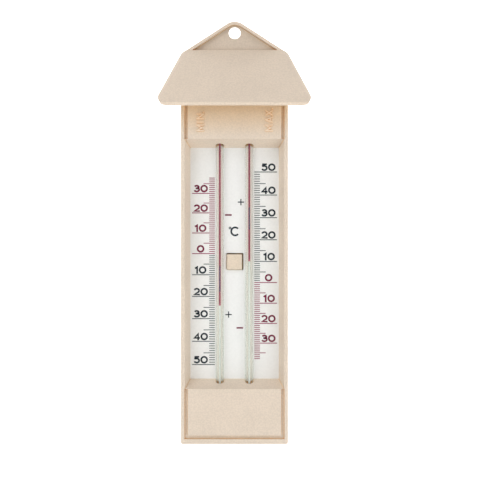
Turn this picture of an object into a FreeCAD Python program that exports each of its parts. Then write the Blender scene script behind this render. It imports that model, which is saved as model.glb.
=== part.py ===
"""Maximum minimum thermometer with a pitched roof, a U-shaped tube and a reset button.

Origin: centre of the hanging hole on the wall plane. +X right, +Z up, -Y towards the viewer.
A height is a distance in front of the wall plane, so it is -Y. All sizes are in millimetres.
"""
import FreeCAD
import Part
import math
import os

V = FreeCAD.Vector
os.makedirs("parts", exist_ok=True)

# Driving dimensions -----------------------------------------------------------------------

# Roof hood and hanging tab
hole_r = 3.4
tab_top_z = 5.7
tab_arc_r = 8.0
tab_flank_deg = 33.4
tab_h = 4.0
tab_web_h = 1.6
tab_rim = 1.4
tab_foot_z = -10.2
shoulder_x = 30.25
shoulder_z = -12.3
shoulder_r = 4.5
eave_x = 43.1
eave_z = -46.0
eave_h = 32.0
eave_corner_r = 5.4
eave_rise = 7.6
lip_top_z = -44.5
roof_wall = 2.0
hip_r = 2.8
hood_back_h = 2.0
hood_back_z = eave_z + eave_rise

# Housing
body_x = 28.9
body_h = 22.0
body_bottom_z = -226.75
body_edge_r = 1.0
wall = 2.0
cavity_x = body_x - wall
cavity_bottom_z = body_bottom_z + wall
body_top_z = hood_back_z - 0.3
head_low_h = 5.5
head_top_z = -16.6
head_slope_z = -36.6
head_x = 28.2
pocket_h = 17.0
deep_pocket_h = 20.0
deep_pocket_x = 22.0
upper_pocket_z = -60.5
lower_pocket_z = -199.5

# Window, its bevels, and the grooves round the panels
plate_h = 12.5
win_front_x = 26.7
win_front_top_z = -62.5
win_front_bottom_z = -196.9
win_back_x = 24.35
win_back_top_z = -66.05
win_back_bottom_z = -193.06
groove_depth = 1.3
panel_x = 25.2
block_x = 25.15
groove_out_x = 26.9
block_bottom_z = -221.95
groove_bottom_z = -223.85
groove_top_z = -34.0

# Raised legends on the upper panel
legend_relief = 0.6
legend_stroke = 0.6
legend_high = 3.5
legend_foot_z = -58.1
min_legend_x = -16.6
max_legend_x = 20.3

# Scale plate
plate_thick = 1.0
plate_x = 25.6
plate_top_z = -61.0
plate_bottom_z = -198.5
stake_x = 18.0
stake_r = 1.0
stake_z = (-63.3, -196.2)
button_hole = 9.3
button_hole_x = 0.2
button_hole_z = -128.6

# Glass tube and bulbs
tube_r = 2.2
tube_bore_r = 0.60
leg_x = 8.05
tube_h = plate_h + tube_r + 0.05
leg_top_z = -57.0
bend_z = -211.5
passage_r = 2.3
notch_r = 2.35
notch_z = (-64.8, -194.6)
bulb_r = 4.8
bulb_wall = 0.9
bulb_top_z = -39.0

# Liquids and indexes
fill_r = 0.56
spirit_bore_r = 0.45
min_meniscus_z = -152.6
max_meniscus_z = -128.45
slot_half = 0.34
thread_foot_z = -195.5
tail_r = 0.45
tail_bore_r = 0.49
min_travel_down = 6.0
min_travel_up = 3.0
joint_gap = 0.3
min_spirit_top_z = -57.5
max_spirit_top_z = -56.5
spirit_channel = 14.0
expansion_fill_drop = 8.0
index_r = 0.41
index_core_r = 0.22
index_end = 0.9
min_index_z = (-145.2, -131.0)
max_index_z = (-111.06, -99.0)

# Reset button, carrier and magnets
button_size = 8.45
button_h = 14.0
button_x = -0.05
button_z = -128.85
button_edge_r = 0.7
carrier_h = (7.6, 9.2)
carrier_x = 11.5
carrier_z = (-190.0, -69.0)
carrier_waist_x = 4.2
magnet_x = 2.0
magnet_h = (9.2, 11.2)
magnet_z = (-188.0, -71.0)

# Back cover, guide posts, springs
cover_h = 2.5
cover_gap = 0.3
cover_x = cavity_x - cover_gap
cover_z = (cavity_bottom_z + cover_gap, body_top_z - cover_gap)
post_z = (-97.0, -161.0)
post_r = 1.5
post_top_h = 10.6
post_hole_r = 1.58
spring_r = 2.35
spring_wire_r = 0.3
spring_turns = 4

# Screws
screw_x = 22.0
upper_screw_z = -53.0
lower_screw_z = -214.0
hood_screw_z = -30.0
hood_screw_x = 21.0
boss_r = 3.2
pilot_r = 1.25
screw_r = 1.2
screw_head_r = 2.6
screw_head_h = 1.4
screw_hole_r = 1.5
screw_len = 9.0

# Clips and cushions
clip_x = 15.0
clip_h = (9.6, 16.2)
upper_clip_z = (-60.4, -57.6)
lower_clip_z = (-202.6, -199.7)
rib_x = (12.6, 14.6)
stiff_rib_x = (19.4, 20.6)
stiff_rib_z = (-190.0, -70.0)
stiff_rib_high = 3.0
cushion_x = 13.0
bulb_cushion_z = (-55.5, -41.5)
bend_cushion_z = (-223.5, -215.5)


# Helpers ----------------------------------------------------------------------------------

def block(x0, x1, h0, h1, z0, z1):
    """A block between two heights above the wall plane."""
    return Part.makeBox(x1 - x0, h1 - h0, z1 - z0, V(x0, -h1, z0))


def rod_z(x, h, radius, z0, z1):
    """A round bar along Z."""
    return Part.makeCylinder(radius, z1 - z0, V(x, -h, z0), V(0, 0, 1))


def rod_y(x, z, radius, h0, h1):
    """A round bar that stands out from the wall plane."""
    return Part.makeCylinder(radius, h1 - h0, V(x, -h0, z), V(0, -1, 0))


def front_prism(points, h0, h1):
    """A prism whose outline is a list of (x, z) points, between two heights."""
    outline = Part.makePolygon([V(x, -h0, z) for x, z in points + points[:1]])
    return Part.Face(outline).extrude(V(0, h0 - h1, 0))


def side_prism(points, half_x):
    """A prism whose outline is a list of (h, z) points, centred across X."""
    outline = Part.makePolygon([V(-half_x, -h, z) for h, z in points + points[:1]])
    return Part.Face(outline).extrude(V(2 * half_x, 0, 0))


def funnel(back, front):
    """A tapered space between two rectangles, each (half x, h, bottom z, top z)."""
    wires = []
    for half_x, h, z0, z1 in (back, front):
        corners = [V(-half_x, -h, z0), V(half_x, -h, z0), V(half_x, -h, z1), V(-half_x, -h, z1)]
        wires.append(Part.makePolygon(corners + corners[:1]))
    return Part.makeLoft(wires, True, True)


def edges_along(shape, axis, test):
    """Straight edges of a shape that run along an axis and whose middle passes a test."""
    found = []
    for edge in shape.Edges:
        if not isinstance(edge.Curve, Part.Line):
            continue
        along = edge.Curve.Direction
        if abs(along.dot(axis)) > 0.999 and test(edge.CenterOfMass):
            found.append(edge)
    return found


def save(node, shape):
    """Write one node, cleaned of seams between flush faces."""
    shape.removeSplitter().exportStep("parts/" + node + ".step")


X_AXIS = V(1, 0, 0)
Y_AXIS = V(0, 1, 0)
Z_AXIS = V(0, 0, 1)
SIDES = (-1, 1)


# Roof hood ------------------------------------------------------------------------------------

def tab_flank(inset):
    """The point (x, z) where the tab's round top turns into its right flank."""
    slope = math.radians(tab_flank_deg)
    radius = tab_arc_r - inset
    return radius * math.sin(slope), tab_top_z - tab_arc_r + radius * math.cos(slope)


def recess_outline():
    """The triangular field inside the tab's rim."""
    tx, tz = tab_flank(tab_rim)
    top = V(0, 0, tab_top_z - tab_rim)
    foot_x = tx + (tz - tab_foot_z) / math.tan(math.radians(tab_flank_deg))
    arc = Part.Arc(V(-tx, 0, tz), top, V(tx, 0, tz)).toShape()
    right = Part.makeLine(V(tx, 0, tz), V(foot_x, 0, tab_foot_z))
    foot = Part.makeLine(V(foot_x, 0, tab_foot_z), V(-foot_x, 0, tab_foot_z))
    left = Part.makeLine(V(-foot_x, 0, tab_foot_z), V(-tx, 0, tz))
    return Part.Face(Part.Wire([arc, right, foot, left]))


def hood_outline():
    """The tab and the roof seen from the front, as a prism as deep as the eaves."""
    tx, tz = tab_flank(0)
    right = [V(tx, 0, tz), V(shoulder_x, 0, shoulder_z), V(eave_x, 0, eave_z)]
    left = [V(-p.x, 0, p.z) for p in reversed(right)]
    arc = Part.Arc(left[-1], V(0, 0, tab_top_z), right[0]).toShape()
    sides = [Part.makeLine(p, q) for p, q in zip(right, right[1:])]
    sides += [Part.makeLine(right[-1], left[0])]
    sides += [Part.makeLine(p, q) for p, q in zip(left, left[1:])]
    prism = Part.Face(Part.Wire([arc] + sides)).extrude(V(0, -eave_h, 0))
    prism = prism.makeFillet(eave_corner_r, edges_along(prism, Y_AXIS, lambda c: c.z < eave_z + 0.1))
    return prism.makeFillet(shoulder_r, edges_along(prism, Y_AXIS, lambda c: abs(c.z - shoulder_z) < 0.1))


def roof_wedge(inset):
    """The sloping front and the two flanks of the roof, with rounded hips between them."""
    pitch = math.atan2(eave_h - tab_h, tab_foot_z - lip_top_z)
    flank = math.atan2(eave_x - shoulder_x, shoulder_z - eave_z)
    top_z = tab_foot_z + (tab_h / math.tan(pitch)) - inset / math.sin(pitch)
    low_z = eave_z - 20
    low_h = (top_z - low_z) * math.tan(pitch)
    slope = side_prism([(0, top_z), (low_h, low_z), (0, low_z)], 80)
    top_x = shoulder_x + (shoulder_z - top_z) * math.tan(flank) - inset / math.cos(flank)
    low_x = top_x + (top_z - low_z) * math.tan(flank)
    sides = front_prism([(-low_x, low_z), (low_x, low_z), (top_x, top_z), (-top_x, top_z)], 0, 80)
    wedge = slope.common(sides)
    hips = [e for e in wedge.Edges
            if abs(e.CenterOfMass.x) > top_x and -e.CenterOfMass.y > 1 and abs(e.CenterOfMass.z - low_z) > 1]
    return wedge.makeFillet(max(hip_r - inset, 0.8), hips)


def hood_hollow():
    """The space under the roof, rounded at the eaves' corners like the outside, and open below."""
    flank = math.atan2(eave_x - shoulder_x, shoulder_z - eave_z)
    corner_x = eave_x - eave_corner_r * math.tan(math.pi / 4 + flank / 2)
    corner_z = eave_z + eave_corner_r
    inner_r = eave_corner_r - roof_wall
    flank_foot_z = corner_z + inner_r * math.sin(flank)
    front_h = eave_h - roof_wall
    upper = block(-eave_x, eave_x, hood_back_h, front_h, flank_foot_z, shoulder_z - roof_wall)
    lower = block(-corner_x - 1, corner_x + 1, hood_back_h, front_h, eave_z - 1, flank_foot_z + 1)
    rounds = [rod_y(side * corner_x, corner_z, inner_r, hood_back_h, front_h) for side in SIDES]
    return upper.fuse([lower] + rounds)


def roof_hood():
    outline = hood_outline()
    shell = roof_wedge(0).common(outline).fuse(outline.common(block(-50, 50, 0, tab_h, eave_z, 10)))
    shell = shell.cut(roof_wedge(roof_wall).common(hood_hollow()))
    # The skirt's lower edge rises towards the wall.
    below = side_prism([(-1, eave_z - 5), (eave_h + 1, eave_z - 5), (eave_h + 1, eave_z),
                        (eave_h - roof_wall, eave_z), (hood_back_h, hood_back_z), (-1, hood_back_z)], 50)
    shell = shell.cut(below)
    recess = recess_outline().extrude(V(0, -tab_h, 0))
    recess.translate(V(0, -tab_web_h, 0))
    shell = shell.cut(recess)
    shell = shell.cut(rod_y(0, 0, hole_r, -1, tab_h + 1))
    for side in SIDES:
        hole = rod_y(side * hood_screw_x, hood_screw_z, screw_hole_r, -1, hood_back_h + 1)
        sink = rod_y(side * hood_screw_x, hood_screw_z, screw_head_r + 0.1, -1, screw_head_h)
        shell = shell.cut([hole, sink])
    return shell


save("roof_hood", roof_hood())


# Front housing ----------------------------------------------------------------------------------

def legend_bars(letters):
    """Strokes of a legend in reading axes (u along the text, v up), as (u0, v0, u1, v1) lines."""
    high = legend_high
    strokes = []
    u = 0.0
    for letter in letters:
        if letter == "M":
            lines = [(0, 0, 0, high), (0, high, 1.5, 0.9), (1.5, 0.9, 3.0, high), (3.0, high, 3.0, 0)]
            step = 4.6
        elif letter == "I":
            lines = [(0, 0, 0, high)]
            step = 1.8
        elif letter == "N":
            lines = [(0, 0, 0, high), (0, high, 2.5, 0), (2.5, 0, 2.5, high)]
            step = 3.5
        elif letter == "A":
            lines = [(0, 0, 1.3, high), (1.3, high, 2.6, 0), (0.55, 1.1, 2.05, 1.1)]
            step = 3.8
        elif letter == "X":
            lines = [(0, 0, 2.3, high), (0, high, 2.3, 0)]
            step = 3.4
        else:
            lines = [(0, 0, 0.05, 0)]
            step = 1.0
        strokes += [(u + a, b, u + c, d) for a, b, c, d in lines]
        u += step
    return strokes


def legend(letters, foot_x, foot_z):
    """A raised legend that reads upwards: its baseline is at foot_x and it starts at foot_z."""
    bars = []
    for u0, v0, u1, v1 in legend_bars(letters):
        length = math.hypot(u1 - u0, v1 - v0) + legend_stroke
        bar = Part.makeBox(length, legend_relief + 0.4, legend_stroke,
                           V(-legend_stroke / 2, -legend_relief, -legend_stroke / 2))
        bar.rotate(V(0, 0, 0), Y_AXIS, -math.degrees(math.atan2(v1 - v0, u1 - u0)))
        bar.translate(V(u0, 0, v0))
        bars.append(bar)
    text = bars[0].fuse(bars[1:])
    text.rotate(V(0, 0, 0), Y_AXIS, -90)
    text.translate(V(foot_x, -body_h, foot_z))
    return text


def front_housing():
    # Below the eaves the housing reaches the wall; above them it stands inside the hood.
    lower = block(-body_x, body_x, 0, body_h, body_bottom_z, body_top_z)
    edges = edges_along(lower, X_AXIS, lambda c: c.z < body_bottom_z + 0.1 and -c.y > 1)
    edges += edges_along(lower, Z_AXIS, lambda c: -c.y > 1)
    edges += edges_along(lower, Y_AXIS, lambda c: c.z < body_bottom_z + 0.1)
    lower = lower.makeFillet(body_edge_r, edges)
    head = side_prism([(hood_back_h, body_top_z), (hood_back_h, head_top_z), (head_low_h, head_top_z),
                       (body_h, head_slope_z), (body_h, body_top_z)], head_x)
    shell = lower.fuse(head)

    # The hollow behind the scale plate, and the pockets behind the two panels.
    shell = shell.cut(block(-cavity_x, cavity_x, -1, plate_h, cavity_bottom_z, body_top_z + 1))
    inner_head = side_prism([(-1, eave_z), (-1, head_top_z - wall), (head_low_h - 1, head_top_z - wall),
                             (pocket_h, head_slope_z - wall), (pocket_h, eave_z)], cavity_x - 1.5)
    shell = shell.cut(inner_head)
    for z0, z1 in ((upper_pocket_z, head_slope_z - wall), (cavity_bottom_z, lower_pocket_z)):
        shell = shell.cut(block(-cavity_x + 1.5, cavity_x - 1.5, plate_h - 1, pocket_h, z0, z1))
        shell = shell.cut(block(-deep_pocket_x, deep_pocket_x, pocket_h - 1, deep_pocket_h, z0, z1))

    # The window, with bevels that lead down to the plate.
    back = (win_back_x, plate_h, win_back_bottom_z, win_back_top_z)
    front = (win_front_x, body_h, win_front_bottom_z, win_front_top_z)
    shell = shell.cut(funnel(back, front))

    # Grooves that frame the upper panel and the lower block.
    floor_h = body_h - groove_depth
    for side in SIDES:
        for inner_x, z0, z1 in ((panel_x, win_front_top_z, groove_top_z),
                                (block_x, groove_bottom_z, win_front_bottom_z)):
            x0, x1 = sorted((side * inner_x, side * groove_out_x))
            shell = shell.cut(block(x0, x1, floor_h, body_h + 1, z0, z1))
    shell = shell.cut(block(-groove_out_x, groove_out_x, floor_h, body_h + 1,
                            groove_bottom_z, block_bottom_z))

    # Where the legs of the tube pass behind the bevels: a round passage, and a round-ended notch.
    for side in SIDES:
        x = side * leg_x
        shell = shell.cut(rod_z(x, tube_h, passage_r, lower_pocket_z - 1, upper_pocket_z + 1))
        top_notch = rod_y(x, notch_z[0] - notch_r, notch_r, plate_h, body_h + 1)
        low_notch = rod_y(x, notch_z[1] + notch_r, notch_r, plate_h, body_h + 1)
        shell = shell.cut([top_notch, low_notch])

    # Stakes that hold the plate, and bosses for the screws.
    additions = []
    for z in stake_z:
        additions += [rod_y(side * stake_x, z, stake_r, plate_h - plate_thick - 0.7, plate_h + 0.5)
                      for side in SIDES]
    for side in SIDES:
        for z in (upper_screw_z, lower_screw_z):
            boss = rod_y(side * screw_x, z, boss_r, cover_h, deep_pocket_h + 0.5)
            web_x = sorted((side * screw_x, side * (cavity_x + 0.5)))
            web = block(web_x[0], web_x[1], cover_h, pocket_h + 0.5, z - 1, z + 1)
            pilot = rod_y(side * screw_x, z, pilot_r, cover_h - 1, screw_len + 2)
            additions.append(boss.fuse(web).cut(pilot))
        boss = rod_y(side * hood_screw_x, hood_screw_z, boss_r, hood_back_h, 13.5)
        pilot = rod_y(side * hood_screw_x, hood_screw_z, pilot_r, hood_back_h - 1, screw_len + 2)
        additions.append(boss.cut(pilot))
    additions.append(legend("MIN.", min_legend_x, legend_foot_z))
    additions.append(legend("MAX.", max_legend_x, legend_foot_z))
    return shell.fuse(additions)


save("front_housing", front_housing())


# Scale plate --------------------------------------------------------------------------------------

def scale_plate():
    back_h = plate_h - plate_thick
    plate = block(-plate_x, plate_x, back_h, plate_h, plate_bottom_z, plate_top_z)
    edges = edges_along(plate, Y_AXIS, lambda c: True)
    plate = plate.makeFillet(1.2, edges)
    half = button_hole / 2
    opening = block(button_hole_x - half, button_hole_x + half, back_h - 1, plate_h + 1,
                    button_hole_z - half, button_hole_z + half)
    opening = opening.makeFillet(0.5, edges_along(opening, Y_AXIS, lambda c: True))
    holes = [rod_y(side * stake_x, z, stake_r, back_h - 1, plate_h + 1)
             for side in SIDES for z in stake_z]
    return plate.cut([opening] + holes)


save("scale_plate", scale_plate())


# Glass tube, bulbs and what they hold -----------------------------------------------------------------

def bend(radius, z_end):
    """A U-bend of round section with straight legs up to z_end."""
    points = [V(side * leg_x, -tube_h, z) for side, z in ((-1, z_end), (-1, bend_z), (1, bend_z), (1, z_end))]
    arc = Part.Arc(points[1], V(0, -tube_h, bend_z - leg_x), points[2]).toShape()
    path = Part.Wire([Part.makeLine(points[0], points[1]), arc, Part.makeLine(points[2], points[3])])
    section = Part.Wire(Part.makeCircle(radius, points[0], Z_AXIS))
    return path.makePipeShell([section], True, False)


def bulb_form(inset, foot_z):
    """A bulb with a domed top and a shoulder below; an inset gives the space inside."""
    r = bulb_r - inset
    top_z = bulb_top_z - inset
    profile = [V(0, 0, foot_z + inset), V(tube_r, 0, foot_z + inset), V(r, 0, foot_z + inset + 3)]
    lines = [Part.makeLine(profile[0], profile[1]), Part.makeLine(profile[1], profile[2]),
             Part.makeLine(profile[2], V(r, 0, top_z - r)),
             Part.Arc(V(r, 0, top_z - r),
                      V(r * math.cos(math.pi / 4), 0, top_z - r + r * math.sin(math.pi / 4)),
                      V(0, 0, top_z)).toShape(),
             Part.makeLine(V(0, 0, top_z), profile[0])]
    return Part.Face(Part.Wire(lines)).revolve(V(0, 0, 0), Z_AXIS, 360)


def bulb(side):
    shell = bulb_form(0, leg_top_z).cut(bulb_form(bulb_wall, leg_top_z))
    shell = shell.cut(Part.makeCylinder(tube_bore_r, 4, V(0, 0, leg_top_z - 1), Z_AXIS))
    shell.translate(V(side * leg_x, -tube_h, 0))
    return shell


def bulb_spirit(side, fill_top_z):
    """Spirit in a bulb, with a channel down its middle for the column that rises into it."""
    inside = bulb_form(bulb_wall + 0.05, leg_top_z)
    inside = inside.cut(Part.makeCylinder(tube_bore_r + 0.05, spirit_channel, V(0, 0, leg_top_z - 1), Z_AXIS))
    inside = inside.cut(Part.makeBox(20, 20, 40, V(-10, -10, fill_top_z)))
    inside.translate(V(side * leg_x, -tube_h, 0))
    return inside


def column(side, z0, z1, radius):
    return rod_z(side * leg_x, tube_h, radius, z0, z1)


def spirit_column(side, z0, z1):
    """Spirit round the index's path, open towards the front so that the index shows."""
    x = side * leg_x
    sleeve = column(side, z0, z1, fill_r).cut(column(side, z0 - 1, z1 + 1, spirit_bore_r))
    return sleeve.cut(block(x - slot_half, x + slot_half, tube_h, tube_h + 2, z0 + 1.0, z1 + 1))


def sleeve_top(side):
    """How high the mercury in the bend reaches, just clear of the thread at its lowest."""
    down = min_travel_down if side < 0 else min_travel_up
    return thread_foot_z - down - joint_gap


def mercury_thread(side, top_z):
    """A thread with a thinner tail that stays inside the mercury of the bend as the thread moves."""
    up = min_travel_up if side < 0 else min_travel_down
    tail_foot_z = sleeve_top(side) - up - joint_gap
    return column(side, thread_foot_z, top_z, fill_r).fuse(column(side, tail_foot_z, top_z - 1, tail_r))


def mercury_bend():
    """Mercury in the bend, bored out at both ends for the tails of the threads."""
    fill = bend(fill_r, sleeve_top(-1)).fuse(column(1, sleeve_top(-1), sleeve_top(1), fill_r))
    for side in SIDES:
        fill = fill.cut(column(side, bend_z + 0.05, sleeve_top(side) + 1, tail_bore_r))
    return fill


def index_sheath(side, z0, z1):
    """A closed sleeve with rounded ends."""
    corner = index_r / 2
    lines = [Part.makeLine(V(0, 0, z0), V(corner, 0, z0)),
             Part.Arc(V(corner, 0, z0), V(corner * 1.707, 0, z0 + corner * 0.293),
                      V(index_r, 0, z0 + corner)).toShape(),
             Part.makeLine(V(index_r, 0, z0 + corner), V(index_r, 0, z1 - corner)),
             Part.Arc(V(index_r, 0, z1 - corner), V(corner * 1.707, 0, z1 - corner * 0.293),
                      V(corner, 0, z1)).toShape(),
             Part.makeLine(V(corner, 0, z1), V(0, 0, z1)),
             Part.makeLine(V(0, 0, z1), V(0, 0, z0))]
    body = Part.Face(Part.Wire(lines)).revolve(V(0, 0, 0), Z_AXIS, 360)
    body.translate(V(side * leg_x, -tube_h, 0))
    return body.cut(index_core(side, z0, z1))


def index_core(side, z0, z1):
    return rod_z(side * leg_x, tube_h, index_core_r, z0 + index_end, z1 - index_end)


tube_glass = bend(tube_r, leg_top_z).cut(bend(tube_bore_r, leg_top_z + 1))
save("glass_u_tube", tube_glass)
save("sensing_bulb", bulb(-1))
save("expansion_bulb", bulb(1))
save("sensing_bulb_spirit", bulb_spirit(-1, bulb_top_z))
save("expansion_bulb_spirit", bulb_spirit(1, bulb_top_z - expansion_fill_drop))
save("mercury_bend", mercury_bend())
save("min_mercury_thread", mercury_thread(-1, min_meniscus_z))
save("max_mercury_thread", mercury_thread(1, max_meniscus_z))
save("min_spirit_column", spirit_column(-1, min_meniscus_z, min_spirit_top_z))
save("max_spirit_column", spirit_column(1, max_meniscus_z, max_spirit_top_z))
for name, side, span in (("min", -1, min_index_z), ("max", 1, max_index_z)):
    save(name + "_index_core", index_core(side, span[0], span[1]))
    save(name + "_index_sheath", index_sheath(side, span[0], span[1]))


# Reset button, carrier, magnets and springs -------------------------------------------------------------

def reset_button():
    half = button_size / 2
    cap = block(button_x - half, button_x + half, carrier_h[1], button_h, button_z - half, button_z + half)
    cap = cap.makeFillet(0.5, edges_along(cap, Y_AXIS, lambda c: True))
    rim = [e for e in cap.Edges if abs(-e.CenterOfMass.y - button_h) < 0.01]
    return cap.makeFillet(button_edge_r, rim)


def magnet_carrier():
    """A flat frame that is wide at both ends, holds the magnets and slides on two posts."""
    bar_z = 9.0
    carrier = block(-carrier_waist_x, carrier_waist_x, carrier_h[0], carrier_h[1],
                    carrier_z[0], carrier_z[1])
    for side in SIDES:
        x0, x1 = sorted((side * (leg_x - magnet_x - 1), side * carrier_x))
        carrier = carrier.fuse(block(x0, x1, carrier_h[0], carrier_h[1], carrier_z[0], carrier_z[1]))
    for z in (carrier_z[0], post_z[1] - bar_z / 2, button_z - bar_z / 2, post_z[0] - bar_z / 2,
              carrier_z[1] - bar_z):
        carrier = carrier.fuse(block(-carrier_x, carrier_x, carrier_h[0], carrier_h[1], z, z + bar_z))
    holes = [rod_y(0, z, post_hole_r, 0, 20) for z in post_z]
    return carrier.cut(holes)


def magnet_strip(side):
    centre = side * leg_x
    strip = block(centre - magnet_x, centre + magnet_x, magnet_h[0], magnet_h[1],
                  magnet_z[0], magnet_z[1])
    return strip.makeChamfer(0.3, edges_along(strip, Z_AXIS, lambda c: -c.y > magnet_h[1] - 0.1))


def return_spring(z):
    """A coil of eight-sided wire between the cover and the carrier."""
    length = carrier_h[0] - cover_h - 2 * spring_wire_r
    pitch = length / spring_turns
    helix = Part.makeHelix(pitch, length, spring_r)
    start = helix.Vertexes[0].Point
    along = V(0, spring_r, pitch / (2 * math.pi)).normalize()
    corners = []
    for k in range(9):
        turn = FreeCAD.Rotation(along, 45.0 * k)
        corners.append(start + turn.multVec(V(spring_wire_r, 0, 0)))
    coil = Part.Wire(helix.Edges).makePipeShell([Part.makePolygon(corners)], True, True)
    coil.rotate(V(0, 0, 0), X_AXIS, 90)
    coil.translate(V(0, -cover_h - spring_wire_r, z))
    return coil


save("reset_button", reset_button())
save("magnet_carrier", magnet_carrier())
save("min_magnet_strip", magnet_strip(-1))
save("max_magnet_strip", magnet_strip(1))
save("upper_return_spring", return_spring(post_z[0]))
save("lower_return_spring", return_spring(post_z[1]))


# Back cover and screws ----------------------------------------------------------------------------------

def back_cover():
    cover = block(-cover_x, cover_x, 0, cover_h, cover_z[0], cover_z[1])
    cover = cover.makeFillet(1.0, edges_along(cover, Y_AXIS, lambda c: True))
    for z in post_z:
        post = rod_y(0, z, post_r, cover_h - 0.5, post_top_h)
        seat = rod_y(0, z, post_r + 0.4, cover_h - 0.5, cover_h + 0.15)
        cover = cover.fuse([post, seat])
    # Ribs that press the tube clips against the housing.
    for z0, z1 in (upper_clip_z, lower_clip_z):
        for side in SIDES:
            x0, x1 = sorted((side * rib_x[0], side * rib_x[1]))
            cover = cover.fuse(block(x0, x1, cover_h - 0.5, clip_h[0], z0 + 0.3, z1 - 0.3))
    # Stiffening ribs along the inside.
    for side in SIDES:
        x0, x1 = sorted((side * stiff_rib_x[0], side * stiff_rib_x[1]))
        cover = cover.fuse(block(x0, x1, cover_h - 0.5, cover_h + stiff_rib_high,
                                 stiff_rib_z[0], stiff_rib_z[1]))
    for side in SIDES:
        for z in (upper_screw_z, lower_screw_z):
            hole = rod_y(side * screw_x, z, screw_hole_r, -1, cover_h + 1)
            sink = rod_y(side * screw_x, z, screw_head_r + 0.1, -1, screw_head_h)
            cover = cover.cut([hole, sink])
    return cover


def screw(x, z):
    """A pan-head screw sunk into a counterbore, with a cross recess."""
    head = rod_y(x, z, screw_head_r, 0.2, screw_head_h)
    shank = rod_y(x, z, screw_r, screw_head_h, screw_len)
    tip = Part.makeCone(screw_r, 0.3, 1.2, V(x, -screw_len, z), V(0, -1, 0))
    long_slot = block(x - 1.5, x + 1.5, 0, 0.8, z - 0.3, z + 0.3)
    cross_slot = block(x - 0.3, x + 0.3, 0, 0.8, z - 1.5, z + 1.5)
    return head.fuse([shank, tip]).cut([long_slot, cross_slot])


def screws(half_x, rows):
    """A group of separate, identical screws, one on each side in every row."""
    return Part.makeCompound([screw(side * half_x, z) for side in SIDES for z in rows])


save("back_cover", back_cover())
save("cover_screws", screws(screw_x, (upper_screw_z, lower_screw_z)))
save("hood_screws", screws(hood_screw_x, (hood_screw_z,)))


# Clips and cushions ---------------------------------------------------------------------------------------

def tube_clip(z0, z1):
    """A bar with two saddles that the legs snap into."""
    bar = block(-clip_x, clip_x, clip_h[0], clip_h[1], z0, z1)
    for side in SIDES:
        bar = bar.cut(rod_z(side * leg_x, tube_h, tube_r, z0 - 1, z1 + 1))
        x0 = side * leg_x - tube_r * 0.85
        x1 = side * leg_x + tube_r * 0.85
        bar = bar.cut(block(x0, x1, tube_h, clip_h[1] + 1, z0 - 1, z1 + 1))
    return bar


def bulb_cushion():
    pad = block(-cushion_x, cushion_x, cover_h, 11.5, bulb_cushion_z[0], bulb_cushion_z[1])
    for side in SIDES:
        form = bulb_form(0, leg_top_z)
        form.translate(V(side * leg_x, -tube_h, 0))
        pad = pad.cut(form)
    return pad


def bend_cushion():
    pad = block(-cushion_x, cushion_x, 8.0, pocket_h, bend_cushion_z[0], bend_cushion_z[1])
    return pad.cut(bend(tube_r, bend_z + 5))


save("upper_tube_clip", tube_clip(upper_clip_z[0], upper_clip_z[1]))
save("lower_tube_clip", tube_clip(lower_clip_z[0], lower_clip_z[1]))
save("bulb_cushion", bulb_cushion())
save("bend_cushion", bend_cushion())
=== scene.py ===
"""Looks of the maximum minimum thermometer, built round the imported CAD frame. Metres, front towards -Y."""

import math

import bpy
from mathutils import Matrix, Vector


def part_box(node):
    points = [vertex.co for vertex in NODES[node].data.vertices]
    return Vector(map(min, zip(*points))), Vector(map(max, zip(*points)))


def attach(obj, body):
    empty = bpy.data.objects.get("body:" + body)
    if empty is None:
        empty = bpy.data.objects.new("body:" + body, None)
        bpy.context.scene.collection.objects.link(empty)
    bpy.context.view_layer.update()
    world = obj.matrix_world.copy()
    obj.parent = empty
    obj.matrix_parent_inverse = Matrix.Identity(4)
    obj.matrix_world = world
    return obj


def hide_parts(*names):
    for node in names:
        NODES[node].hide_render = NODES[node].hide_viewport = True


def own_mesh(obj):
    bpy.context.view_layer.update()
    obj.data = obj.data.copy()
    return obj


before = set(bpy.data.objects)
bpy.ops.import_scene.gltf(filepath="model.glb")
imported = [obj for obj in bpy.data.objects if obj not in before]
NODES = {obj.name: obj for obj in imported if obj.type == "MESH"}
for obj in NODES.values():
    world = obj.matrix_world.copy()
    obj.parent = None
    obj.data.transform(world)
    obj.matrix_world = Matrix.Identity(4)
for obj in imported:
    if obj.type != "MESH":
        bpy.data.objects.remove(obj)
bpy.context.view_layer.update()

MM = 0.001


# Sizes read from the frame ------------------------------------------------------------------------

case_lo, case_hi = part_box("front_housing")
hood_lo, hood_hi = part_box("roof_hood")
print_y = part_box("scale_plate")[0].y
core_lo, core_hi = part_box("max_index_core")
leg_x = (core_lo.x + core_hi.x) / 2
leg_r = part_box("glass_u_tube")[1].x - leg_x


# Mesh helpers -------------------------------------------------------------------------------------

def mesh_object(name, verts, faces, smooth=False):
    mesh = bpy.data.meshes.new(name)
    mesh.from_pydata([tuple(v) for v in verts], [], faces)
    mesh.validate()
    mesh.update()
    for polygon in mesh.polygons:
        polygon.use_smooth = smooth
    obj = bpy.data.objects.new(name, mesh)
    bpy.context.scene.collection.objects.link(obj)
    return obj


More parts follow.
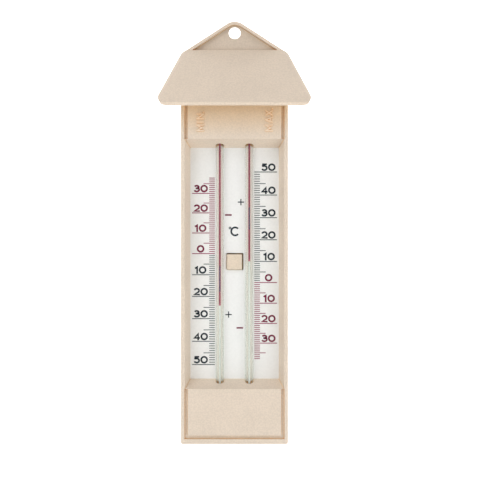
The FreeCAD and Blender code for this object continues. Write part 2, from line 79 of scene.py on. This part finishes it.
class Print:
    """Ink laid on a flat face: closed, very thin prisms, gathered into one mesh."""

    def __init__(self, y, thick=0.03 * MM):
        self.verts = []
        self.faces = []
        self.y = y
        self.thick = thick

    def loop(self, outline):
        """One convex outline of (x, z) points in metres, anticlockwise seen from the front."""
        n = len(outline)
        start = len(self.verts)
        self.verts += [(x, self.y - self.thick, z) for x, z in outline]
        self.verts += [(x, self.y, z) for x, z in outline]
        self.faces.append([start + k for k in range(n)])
        self.faces.append([start + n + k for k in reversed(range(n))])
        for k in range(n):
            after = (k + 1) % n
            self.faces.append([start + k, start + n + k, start + n + after, start + after])

    def bar(self, x0, x1, z, thick):
        low, high = min(x0, x1), max(x0, x1)
        self.loop([(low, z - thick / 2), (high, z - thick / 2), (high, z + thick / 2), (low, z + thick / 2)])

    def stroke(self, points, width, closed=False):
        """A pen stroke of even width along (x, z) points, with mitred corners."""
        n = len(points)
        left, right = [], []
        for k, (x, z) in enumerate(points):
            before = points[(k - 1) % n] if closed or k else points[k]
            after = points[(k + 1) % n] if closed or k < n - 1 else points[k]
            into = Vector((x - before[0], z - before[1]))
            out = Vector((after[0] - x, after[1] - z))
            if into.length < 1e-9:
                into = out
            if out.length < 1e-9:
                out = into
            normal = Vector((-into.y, into.x)).normalized() + Vector((-out.y, out.x)).normalized()
            normal.normalize()
            reach = width / 2 / max(0.5, normal.dot(Vector((-into.y, into.x)).normalized()))
            left.append((x + normal.x * reach, z + normal.y * reach))
            right.append((x - normal.x * reach, z - normal.y * reach))
        start = len(self.verts)
        for y in (self.y - self.thick, self.y):
            self.verts += [(x, y, z) for x, z in left]
            self.verts += [(x, y, z) for x, z in right]
        spans = n if closed else n - 1
        for k in range(spans):
            a, b = k, (k + 1) % n
            lf, rf, lb, rb = start, start + n, start + 2 * n, start + 3 * n
            self.faces.append([rf + a, rf + b, lf + b, lf + a])
            self.faces.append([lb + a, lb + b, rb + b, rb + a])
            self.faces.append([lf + a, lf + b, lb + b, lb + a])
            self.faces.append([rf + b, rf + a, rb + a, rb + b])
        if not closed:
            for k, flip in ((0, False), (n - 1, True)):
                end = [start + k, start + 2 * n + k, start + 3 * n + k, start + n + k]
                self.faces.append(end[::-1] if flip else end)

    def build(self, name):
        return mesh_object(name, self.verts, self.faces)


def arc(cx, cz, rx, rz, start, end, steps=14):
    """Points on an ellipse between two angles in degrees."""
    points = []
    for k in range(steps + 1):
        angle = math.radians(start + (end - start) * k / steps)
        points.append((cx + rx * math.cos(angle), cz + rz * math.sin(angle)))
    return points


# Material helpers ---------------------------------------------------------------------------------

def srgb(r, g, b):
    """A colour given as 0-255 display values, as linear RGBA."""
    out = []
    for v in (r, g, b):
        c = v / 255
        out.append(c / 12.92 if c <= 0.04045 else ((c + 0.055) / 1.055) ** 2.4)
    return out + [1.0]


class Shader:
    """A Principled material with short calls for the nodes that feed it."""

    def __init__(self, name):
        self.material = bpy.data.materials.new(name)
        self.material.use_nodes = True
        self.tree = self.material.node_tree
        self.bsdf = next(n for n in self.tree.nodes if n.type == "BSDF_PRINCIPLED")
        self.coords = self.node("ShaderNodeTexCoord").outputs["Object"]

    def node(self, kind, **inputs):
        made = self.tree.nodes.new(kind)
        for key, value in inputs.items():
            socket = made.inputs[key.replace("_", " ")]
            if isinstance(value, bpy.types.NodeSocket):
                self.tree.links.new(value, socket)
            else:
                socket.default_value = value
        return made

    def link(self, socket, name):
        self.tree.links.new(socket, self.bsdf.inputs[name])

    def noise(self, scale, detail=4.0, rough=0.55, stretch=(1, 1, 1)):
        mapped = self.node("ShaderNodeMapping", Vector=self.coords, Scale=stretch).outputs["Vector"]
        return self.node("ShaderNodeTexNoise", Vector=mapped, Scale=scale, Detail=detail,
                         Roughness=rough).outputs["Fac"]

    def ramp(self, fac, stops):
        made = self.node("ShaderNodeValToRGB", Fac=fac)
        ramp = made.color_ramp
        while len(ramp.elements) < len(stops):
            ramp.elements.new(0.5)
        for element, (at, colour) in zip(ramp.elements, stops):
            element.position = at
            element.color = colour if isinstance(colour, (list, tuple)) else (colour, colour, colour, 1)
        return made.outputs["Color"]

    def mix(self, fac, a, b, blend="MIX"):
        made = self.tree.nodes.new("ShaderNodeMix")
        made.data_type = "RGBA"
        made.blend_type = blend
        for socket, value in ((made.inputs[0], fac), (made.inputs[6], a), (made.inputs[7], b)):
            if isinstance(value, bpy.types.NodeSocket):
                self.tree.links.new(value, socket)
            else:
                socket.default_value = value
        return made.outputs[2]

    def math(self, operation, a, b=0.0):
        made = self.tree.nodes.new("ShaderNodeMath")
        made.operation = operation
        for socket, value in zip(made.inputs, (a, b)):
            if isinstance(value, bpy.types.NodeSocket):
                self.tree.links.new(value, socket)
            else:
                socket.default_value = value
        return made.outputs[0]

    def occlusion(self, distance):
        made = self.node("ShaderNodeAmbientOcclusion", Distance=distance)
        made.samples = 8
        return made.outputs["AO"]

    def bump(self, height, strength, distance, edge=None):
        made = self.node("ShaderNodeBump", Height=height, Strength=strength, Distance=distance)
        if edge:
            soft = self.node("ShaderNodeBevel", Radius=edge)
            soft.samples = 6
            self.tree.links.new(soft.outputs["Normal"], made.inputs["Normal"])
        self.link(made.outputs["Normal"], "Normal")
        return made


def dress(shader, *names):
    for name in names:
        obj = NODES[name]
        obj.data.materials.clear()
        obj.data.materials.append(shader.material)


def moulded(name, colour, shade_tint, spread=0.02, rough=0.48, mottle=1100.0, grain_depth=0.06, edge=0.35 * MM,
            zones=(), under_roof_painted_shadow=None):
    """Satin moulded plastic: mottled grain, painted orange-brown shade in the corners and recesses, rounded
    edges.

    A painted shadow under the roof is (low z, high z, colour): it deepens from none at the low end to full
    at the high end.
    A stain is (low z, high z, colour): it deepens from none at the low end to full at the high end.
    """
    s = Shader(name)
    light = [min(1.0, c * (1 + spread)) for c in colour[:3]] + [1]
    dark = [c * (1 - spread) for c in colour[:3]] + [1]
    base = s.mix(s.ramp(s.noise(60, 3), [(0.35, 0.0), (0.65, 1.0)]), dark, light)
    fleck = s.ramp(s.noise(mottle, 3, 0.6), [(0.38, 1 - grain_depth), (0.62, 1 + 0.6 * grain_depth)])
    base = s.mix(1.0, base, fleck, "MULTIPLY")
    # Painted shade: where occlusion finds corners and recesses, at a broad and a close reach, the colour is
    # multiplied towards the orange-brown shade tint.
    for distance, deep, shallow in ((4 * MM, 0.1, 0.42), (0.9 * MM, 0.5, 0.85)):
        corner = s.ramp(s.occlusion(distance), [(deep, 1.0), (shallow, 0.0)])
        base = s.mix(corner, base, s.mix(1.0, base, shade_tint, "MULTIPLY"))
    if zones or under_roof_painted_shadow:
        place = s.node("ShaderNodeSeparateXYZ", Vector=s.coords)
    # Painted shadow of the roof: the colour deepens towards the given tint from the low height up to the
    # high one.
    if under_roof_painted_shadow:
        low, high, tint = under_roof_painted_shadow
        depth = s.math("DIVIDE", s.math("SUBTRACT", place.outputs["Z"], low), high - low)
        base = s.mix(s.ramp(depth, [(0.0, 0.0), (1.0, 1.0)]), base, s.mix(1.0, base, tint, "MULTIPLY"))
    # Zones paint light and shade: the part beyond the limit is made paler for a painted highlight, duller
    # for painted shade.
    for comparison, axis, limit, factor in zones:
        inside = s.math(comparison, place.outputs[axis], limit)
        base = s.mix(inside, base, s.mix(1.0, base, [factor, factor, factor, 1], "MULTIPLY"))
    s.link(base, "Base Color")
    s.link(s.ramp(s.noise(240, 4), [(0.3, rough - 0.06), (0.7, rough + 0.08)]), "Roughness")
    height = s.math("ADD", s.noise(1500, 2), s.math("MULTIPLY", s.noise(220, 3), 0.8))
    s.bump(height, 0.16, 0.06 * MM, edge)
    s.bsdf.inputs["Specular IOR Level"].default_value = 0.4
    return s


# Materials of the CAD nodes -----------------------------------------------------------------------

beige = srgb(231, 215, 197)
# Orange-brown tint of the painted shade in corners and recesses.
painted_corner_shade = [1.0, 0.8, 0.52, 1]
# Painted highlight: the roof's lip, its lowest 1.5 mm, is made paler.
lip_painted_highlight = ("LESS_THAN", "Z", hood_lo.z + 1.5 * MM, 1.12)
# Painted shade: the tab's recessed field behind the roof is made duller.
tab_recess_painted_shade = ("GREATER_THAN", "Y", -1.7 * MM, 0.84)
# Painted highlight: the raised faces of the moulded legends are made paler.
legend_painted_highlight = ("LESS_THAN", "Y", case_lo.y + 0.3 * MM, 1.2)
hood_look = moulded("hood_plastic", srgb(226, 209, 190), painted_corner_shade, zones=(lip_painted_highlight, tab_recess_painted_shade))
dress(hood_look, "roof_hood")
# The housing's panel gets a painted shadow of the roof, deepening up to the eave.
housing_look = moulded("housing_plastic", beige, painted_corner_shade, edge=0.12 * MM, zones=(legend_painted_highlight,),
                        under_roof_painted_shadow=(hood_lo.z - 15 * MM, hood_lo.z, [1.0, 0.87, 0.68, 1]))
dress(housing_look, "front_housing")
dress(moulded("cover_plastic", srgb(214, 196, 176), painted_corner_shade), "back_cover")
dress(moulded("button_plastic", srgb(230, 213, 192), painted_corner_shade, edge=0.2 * MM), "reset_button")
dress(moulded("carrier_plastic", srgb(222, 208, 190), painted_corner_shade), "magnet_carrier")
dress(moulded("clip_plastic", srgb(214, 210, 202), [0.8, 0.8, 0.8, 1]), "upper_tube_clip", "lower_tube_clip")
plate_look = moulded("plate_plastic", srgb(247, 247, 245), [0.98, 0.96, 0.92, 1], spread=0.006, rough=0.4,
                     mottle=900.0, grain_depth=0.02, edge=0.2 * MM)
dress(plate_look, "scale_plate")


def rubbery(name, colour, pores):
    s = Shader(name)
    cell = s.node("ShaderNodeTexVoronoi", Vector=s.coords, Scale=pores).outputs["Distance"]
    dark = [c * 0.6 for c in colour[:3]] + [1]
    s.link(s.mix(s.ramp(cell, [(0.1, 0.0), (0.6, 1.0)]), dark, colour), "Base Color")
    s.link(s.ramp(s.noise(300), [(0.3, 0.75), (0.7, 0.92)]), "Roughness")
    s.bump(cell, 0.5, 0.15 * MM, 0.3 * MM)
    return s


def metallic(name, colour, rough, stretch, scale=400.0):
    s = Shader(name)
    streak = s.noise(scale, 5, 0.6, stretch)
    dark = [c * 0.7 for c in colour[:3]] + [1]
    worn = s.ramp(s.noise(90, 4), [(0.45, 0.0), (0.6, 0.5)])
    s.link(s.mix(worn, s.mix(streak, dark, colour), [c * 0.8 for c in colour[:3]] + [1]), "Base Color")
    s.link(s.ramp(streak, [(0.3, rough - 0.08), (0.7, rough + 0.1)]), "Roughness")
    s.bsdf.inputs["Metallic"].default_value = 1.0
    s.bump(streak, 0.2, 0.04 * MM, 0.15 * MM)
    return s


dress(rubbery("cushion_rubber", srgb(70, 70, 72), 900), "bulb_cushion", "bend_cushion")
dress(rubbery("magnet_ferrite", srgb(58, 56, 55), 2600), "min_magnet_strip", "max_magnet_strip")
screw_look = metallic("zinc_screw", srgb(196, 194, 186), 0.34, (1, 1, 1))
dress(screw_look, "cover_screws", "hood_screws")
dress(metallic("index_steel", srgb(120, 122, 128), 0.3, (8, 8, 1)), "min_index_core", "max_index_core")


def liquid(name, colour, dark, rough, metal=0.0):
    """A liquid column: slow colour drift along its length and a fine meniscus-like ripple."""
    s = Shader(name)
    drift = s.noise(70, 3, 0.5, (1, 1, 0.3))
    s.link(s.mix(s.ramp(drift, [(0.35, 0.0), (0.65, 1.0)]), dark, colour), "Base Color")
    s.link(s.ramp(s.noise(500, 2), [(0.3, rough), (0.7, rough + 0.07)]), "Roughness")
    s.bsdf.inputs["Metallic"].default_value = metal
    s.bump(s.noise(900, 2), 0.05, 0.02 * MM)
    return s


spirit_look = liquid("red_spirit", srgb(200, 92, 120), srgb(186, 78, 106), 0.3)
dress(spirit_look, "sensing_bulb_spirit", "expansion_bulb_spirit", "min_spirit_column", "max_spirit_column")
mercury_look = liquid("mercury", srgb(236, 241, 234), srgb(222, 229, 220), 0.35)
dress(mercury_look, "mercury_bend", "min_mercury_thread", "max_mercury_thread")
index_look = liquid("index_glaze", srgb(72, 62, 104), srgb(56, 46, 88), 0.35)
dress(index_look, "min_index_sheath", "max_index_sheath")


def glass(name, colour, edge_shade_colour, body, edge_shade_alpha):
    """Clear glass: a faint tint over the front of each leg, and denser grey-green flanks, painted shade for
    the dark edges that refraction gives a round tube, on top of the glass's own tint.
    """
    s = Shader(name)
    side = s.math("ABSOLUTE", s.node("ShaderNodeSeparateXYZ", Vector=s.coords).outputs["X"])
    across = s.math("ABSOLUTE", s.math("SUBTRACT", side, leg_x))
    # Painted shade: colour and opacity rise towards each leg's edges to stand for the refraction there.
    painted_edge_shade = s.ramp(s.math("DIVIDE", across, leg_r), [(0.55, 0.0), (0.92, 1.0)])
    s.link(s.mix(painted_edge_shade, colour, edge_shade_colour), "Base Color")
    s.link(s.ramp(painted_edge_shade, [(0.0, body), (1.0, edge_shade_alpha)]), "Alpha")
    s.link(s.ramp(s.noise(160), [(0.3, 0.16), (0.7, 0.24)]), "Roughness")
    s.bsdf.inputs["IOR"].default_value = 1.47
    s.bump(s.noise(120, 2, 0.5, (1, 1, 0.2)), 0.03, 0.05 * MM)
    return s


glass_look = glass("tube_glass", srgb(236, 242, 234), srgb(208, 224, 210), 0.04, 0.34)
dress(glass_look, "glass_u_tube", "sensing_bulb", "expansion_bulb")


# Springs that stand for the rigid ones ------------------------------------------------------------

def spring(name, node):
    """A round-wire coil along Y, as long as the CAD spring."""
    lo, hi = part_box(node)
    wire = 0.3 * MM
    centre = (lo + hi) / 2
    radius = (hi.z - lo.z) / 2 - wire
    span = hi.y - lo.y - 2 * wire
    turns, per_turn, around = 4.0, 40, 12
    steps = int(turns * per_turn)
    verts, faces = [], []
    for k in range(steps + 1):
        t = k / steps
        angle = 2 * math.pi * turns * t
        out = Vector((math.cos(angle), 0, math.sin(angle)))
        middle = Vector((centre.x, lo.y + wire + span * t, centre.z)) + out * radius
        for m in range(around):
            turn = 2 * math.pi * m / around
            verts.append(middle + (out * math.cos(turn) + Vector((0, 1, 0)) * math.sin(turn)) * wire)
    for k in range(steps):
        for m in range(around):
            a = k * around + m
            b = k * around + (m + 1) % around
            faces.append([a, b, b + around, a + around])
    faces.append(list(range(around))[::-1])
    faces.append([steps * around + m for m in range(around)])
    coil = mesh_object(name, verts, faces, smooth=True)
    coil.data.materials.append(spring_look.material)
    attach(coil, "case")
    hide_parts(node)
    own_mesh(coil)
    return coil


spring_look = metallic("spring_wire", srgb(176, 178, 182), 0.28, (1, 1, 1), 900.0)
spring("upper_spring_coil", "upper_return_spring")
spring("lower_spring_coil", "lower_return_spring")


# Printed scales -----------------------------------------------------------------------------------

# Sizes in mm
SCALE_RANGE = (-38, 50)
DIGIT_H = 4.15
PEN = 0.94
TICKS_FROM_X = 10.85
LONG_TICK, MIDDLE_TICK, SHORT_TICK = 12.5, 6.2, 3.1
LONG_TICK_PEN, SHORT_TICK_PEN = 0.5, 0.46
PRINT_TOP, PRINT_BOTTOM = -65.5, -193.2
LEFT_NUMERALS_TOP, NUMERALS_BOTTOM = -75, -190
NUMERAL_LIFT = 0.55


def right_scale_z(t):
    """Height in mm of a temperature in degrees on the maximum side."""
    return -140.17 + 1.15 * t + 0.0013 * t * t


def left_scale_z(t):
    """Height in mm of a temperature in degrees on the minimum side, whose scale is upside down."""
    return -124.28 - 1.1475 * t - 0.00144 * t * t


def digit_strokes(digit):
    """Pen strokes of a digit, in mm, with its left foot at the origin: (points, closed) and its width."""
    half = PEN / 2
    top = DIGIT_H - half
    if digit == "0":
        r = DIGIT_H / 2 - half
        return [(arc(r + half, DIGIT_H / 2, r, r, 0, 345, 23), True)], DIGIT_H
    if digit == "1":
        return [([(0.3, top - 0.75), (1.5, top - 0.05), (1.5, 0.0)], False)], 1.9
    if digit == "2":
        bowl = arc(1.75, top - 1.1, 1.28, 1.1, 165, -38)
        return [(bowl + [(0.55, half), (3.45, half)], False)], 3.45
    if digit == "3":
        upper = arc(1.7, top - 0.85, 1.12, 0.85, 158, -88, 12)
        lower = arc(1.7, half + 1.0, 1.35, 1.0, 88, -160, 14)
        return [(upper, False), (lower, False), ([(1.15, 2.19), (1.9, 2.19)], False)], 3.4
    if digit == "4":
        return [([(2.55, 0.0), (2.55, top - 0.2), (0.55, 1.3), (3.5, 1.3)], False)], 3.5
    bowl = arc(1.7, half + 1.15, 1.33, 1.15, 128, -158, 16)
    return [([(3.05, top), (0.95, top), (0.72, 2.3)], False), (bowl, False)], 3.4


def numeral(ink, text, x, z):
    """A numeral whose left foot stands at (x, z), in mm."""
    for digit in text:
        strokes, width = digit_strokes(digit)
        for points, closed in strokes:
            placed = [((x + px) * MM, (z + pz) * MM) for px, pz in points]
            ink.stroke(placed, PEN * MM, closed)
        x += width + (0.5 if digit == "1" else 0.3)


def numeral_width(text):
    return sum(digit_strokes(d)[1] for d in text) + (0.5 if text[0] == "1" else 0.3) * (len(text) - 1)


dark_ink = Print(print_y)
red_ink = Print(print_y)
dark_ticks = Print(print_y)
red_ticks = Print(print_y)

def numeral_centre(side, text):
    """Where a numeral is centred, in mm: narrow and single digits sit slightly further out."""
    if text == "0":
        return side * 18.7
    if text[0] == "1":
        return -18.8 if side < 0 else 18.9
    return side * 18.6


for side, scale_z in ((-1, left_scale_z), (1, right_scale_z)):
    for t in range(SCALE_RANGE[0], SCALE_RANGE[1] + 1):
        z = scale_z(t)
        if not PRINT_BOTTOM < z < PRINT_TOP:
            continue
        ticks = red_ticks if t <= 0 else dark_ticks
        length = LONG_TICK if t % 10 == 0 else MIDDLE_TICK if t % 5 == 0 else SHORT_TICK
        pen = LONG_TICK_PEN if t % 10 == 0 else SHORT_TICK_PEN
        ticks.bar(side * TICKS_FROM_X * MM, side * (TICKS_FROM_X + length) * MM, z * MM, pen * MM)
        if t % 10 or (side < 0 and z > LEFT_NUMERALS_TOP) or z < NUMERALS_BOTTOM:
            continue
        text = str(abs(t))
        ink = red_ink if t <= 0 else dark_ink
        foot_x = numeral_centre(side, text) - numeral_width(text) / 2
        numeral(ink, text, foot_x, z + NUMERAL_LIFT)


def plus(ink, x, z, reach, pen):
    ink.bar((x - reach) * MM, (x + reach) * MM, z * MM, pen * MM)
    for low, high in ((z - reach, z - pen / 2), (z + pen / 2, z + reach)):
        ink.bar((x - pen / 2) * MM, (x + pen / 2) * MM, (low + high) / 2 * MM, (high - low) * MM)


plus(dark_ink, 3.47, -95.96, 1.75, 0.6)
plus(dark_ink, -3.29, -157.8, 1.75, 0.6)
red_ink.bar(-5.2 * MM, -1.6 * MM, -103.05 * MM, 0.85 * MM)
red_ink.bar(1.1 * MM, 4.7 * MM, -165.1 * MM, 0.85 * MM)
dark_ink.stroke([(x * MM, z * MM) for x, z in arc(0.3, -112.07, 2.15, 2.2, 42, 318, 24)], PEN * MM)
degree = [(x * MM, z * MM) for x, z in arc(-2.5, -110.2, 0.52, 0.52, 0, 330, 11)]
dark_ink.stroke(degree, 0.45 * MM, True)


def ink_look(name, colour, faint):
    """Screen-printed ink: solid with slight thin patches."""
    s = Shader(name)
    patch = s.ramp(s.noise(700, 4, 0.6), [(0.35, 0.0), (0.7, 1.0)])
    s.link(s.mix(patch, colour, faint), "Base Color")
    s.link(s.ramp(s.noise(300), [(0.3, 0.45), (0.7, 0.6)]), "Roughness")
    s.bump(s.noise(1200, 2), 0.1, 0.02 * MM)
    return s


inks = (
    ("scale_numerals_dark", dark_ink, ink_look("ink_dark", srgb(14, 30, 40), srgb(28, 44, 54))),
    ("scale_numerals_red", red_ink, ink_look("ink_red", srgb(112, 10, 52), srgb(124, 22, 62))),
    ("scale_ticks_dark", dark_ticks, ink_look("ink_tick_dark", srgb(78, 90, 90), srgb(112, 122, 120))),
    ("scale_ticks_red", red_ticks, ink_look("ink_tick_red", srgb(146, 62, 90), srgb(166, 92, 114))),
)
for piece_name, ink, look in inks:
    piece = ink.build(piece_name)
    piece.data.materials.append(look.material)
    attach(piece, "case")


# Studio -------------------------------------------------------------------------------------------

def paper(name, colour, glow):
    """Matt studio paper with an even glow of its own, which can be zero."""
    s = Shader(name)
    s.link(s.mix(s.noise(3), colour, [c * 0.995 for c in colour[:3]] + [1]), "Base Color")
    s.bsdf.inputs["Roughness"].default_value = 0.9
    s.bsdf.inputs["Emission Color"].default_value = (1, 1, 1, 1)
    s.bsdf.inputs["Emission Strength"].default_value = glow
    return s


centre = (case_lo + case_hi) / 2
floor_z = case_lo.z - 0.25
wall_y = 0.30
reach = 3
wall_corners = [(-reach, wall_y, floor_z), (reach, wall_y, floor_z), (reach, wall_y, reach),
                (-reach, wall_y, reach)]
wall = mesh_object("backdrop", wall_corners, [[0, 1, 2, 3]])
wall.data.materials.append(paper("backdrop_paper", srgb(250, 250, 250), 1.0).material)
floor_corners = [(-reach, -reach, floor_z), (reach, -reach, floor_z), (reach, wall_y, floor_z),
                 (-reach, wall_y, floor_z)]
floor = mesh_object("floor", floor_corners, [[0, 1, 2, 3]])
floor.data.materials.append(paper("floor_paper", srgb(238, 238, 236), 0.0).material)


def area_light(name, place, target, size, power, colour=(1, 1, 1)):
    data = bpy.data.lights.new(name, "AREA")
    data.shape = "SQUARE"
    data.size = size
    data.energy = power
    data.color = colour
    light = bpy.data.objects.new(name, data)
    bpy.context.scene.collection.objects.link(light)
    light.location = place
    light.rotation_euler = (Vector(target) - Vector(place)).to_track_quat("-Z", "Y").to_euler()
    return light


aim = (0, -0.01, -0.11)
area_light("left_key", (-0.8, -0.9, 0.25), aim, 0.8, 6.0)
area_light("right_side", (1.3, -0.55, -0.1), aim, 0.8, 2.2)
area_light("right_low", (0.8, -0.9, -0.5), aim, 0.8, 7.8)
area_light("top", (0.0, -0.7, 1.0), aim, 0.8, 5.5)

world = bpy.data.worlds.new("studio")
bpy.context.scene.world = world
world.use_nodes = True
world.node_tree.nodes["Background"].inputs["Color"].default_value = (1, 1, 1, 1)
world.node_tree.nodes["Background"].inputs["Strength"].default_value = 0.08


# Camera -------------------------------------------------------------------------------------------

camera_data = bpy.data.cameras.new("camera")
camera_data.sensor_width = 36.0
camera_data.lens = 56.956
camera_data.clip_start = 0.01
camera = bpy.data.objects.new("camera", camera_data)
bpy.context.scene.collection.objects.link(camera)
camera.location = (centre.x + 2.98 * MM, -430 * MM, (case_lo.z + hood_hi.z) / 2 - 6.275 * MM)
camera.rotation_euler = (math.radians(90), 0, 0)
bpy.context.scene.camera = camera
bpy.context.scene.view_settings.view_transform = "Standard"
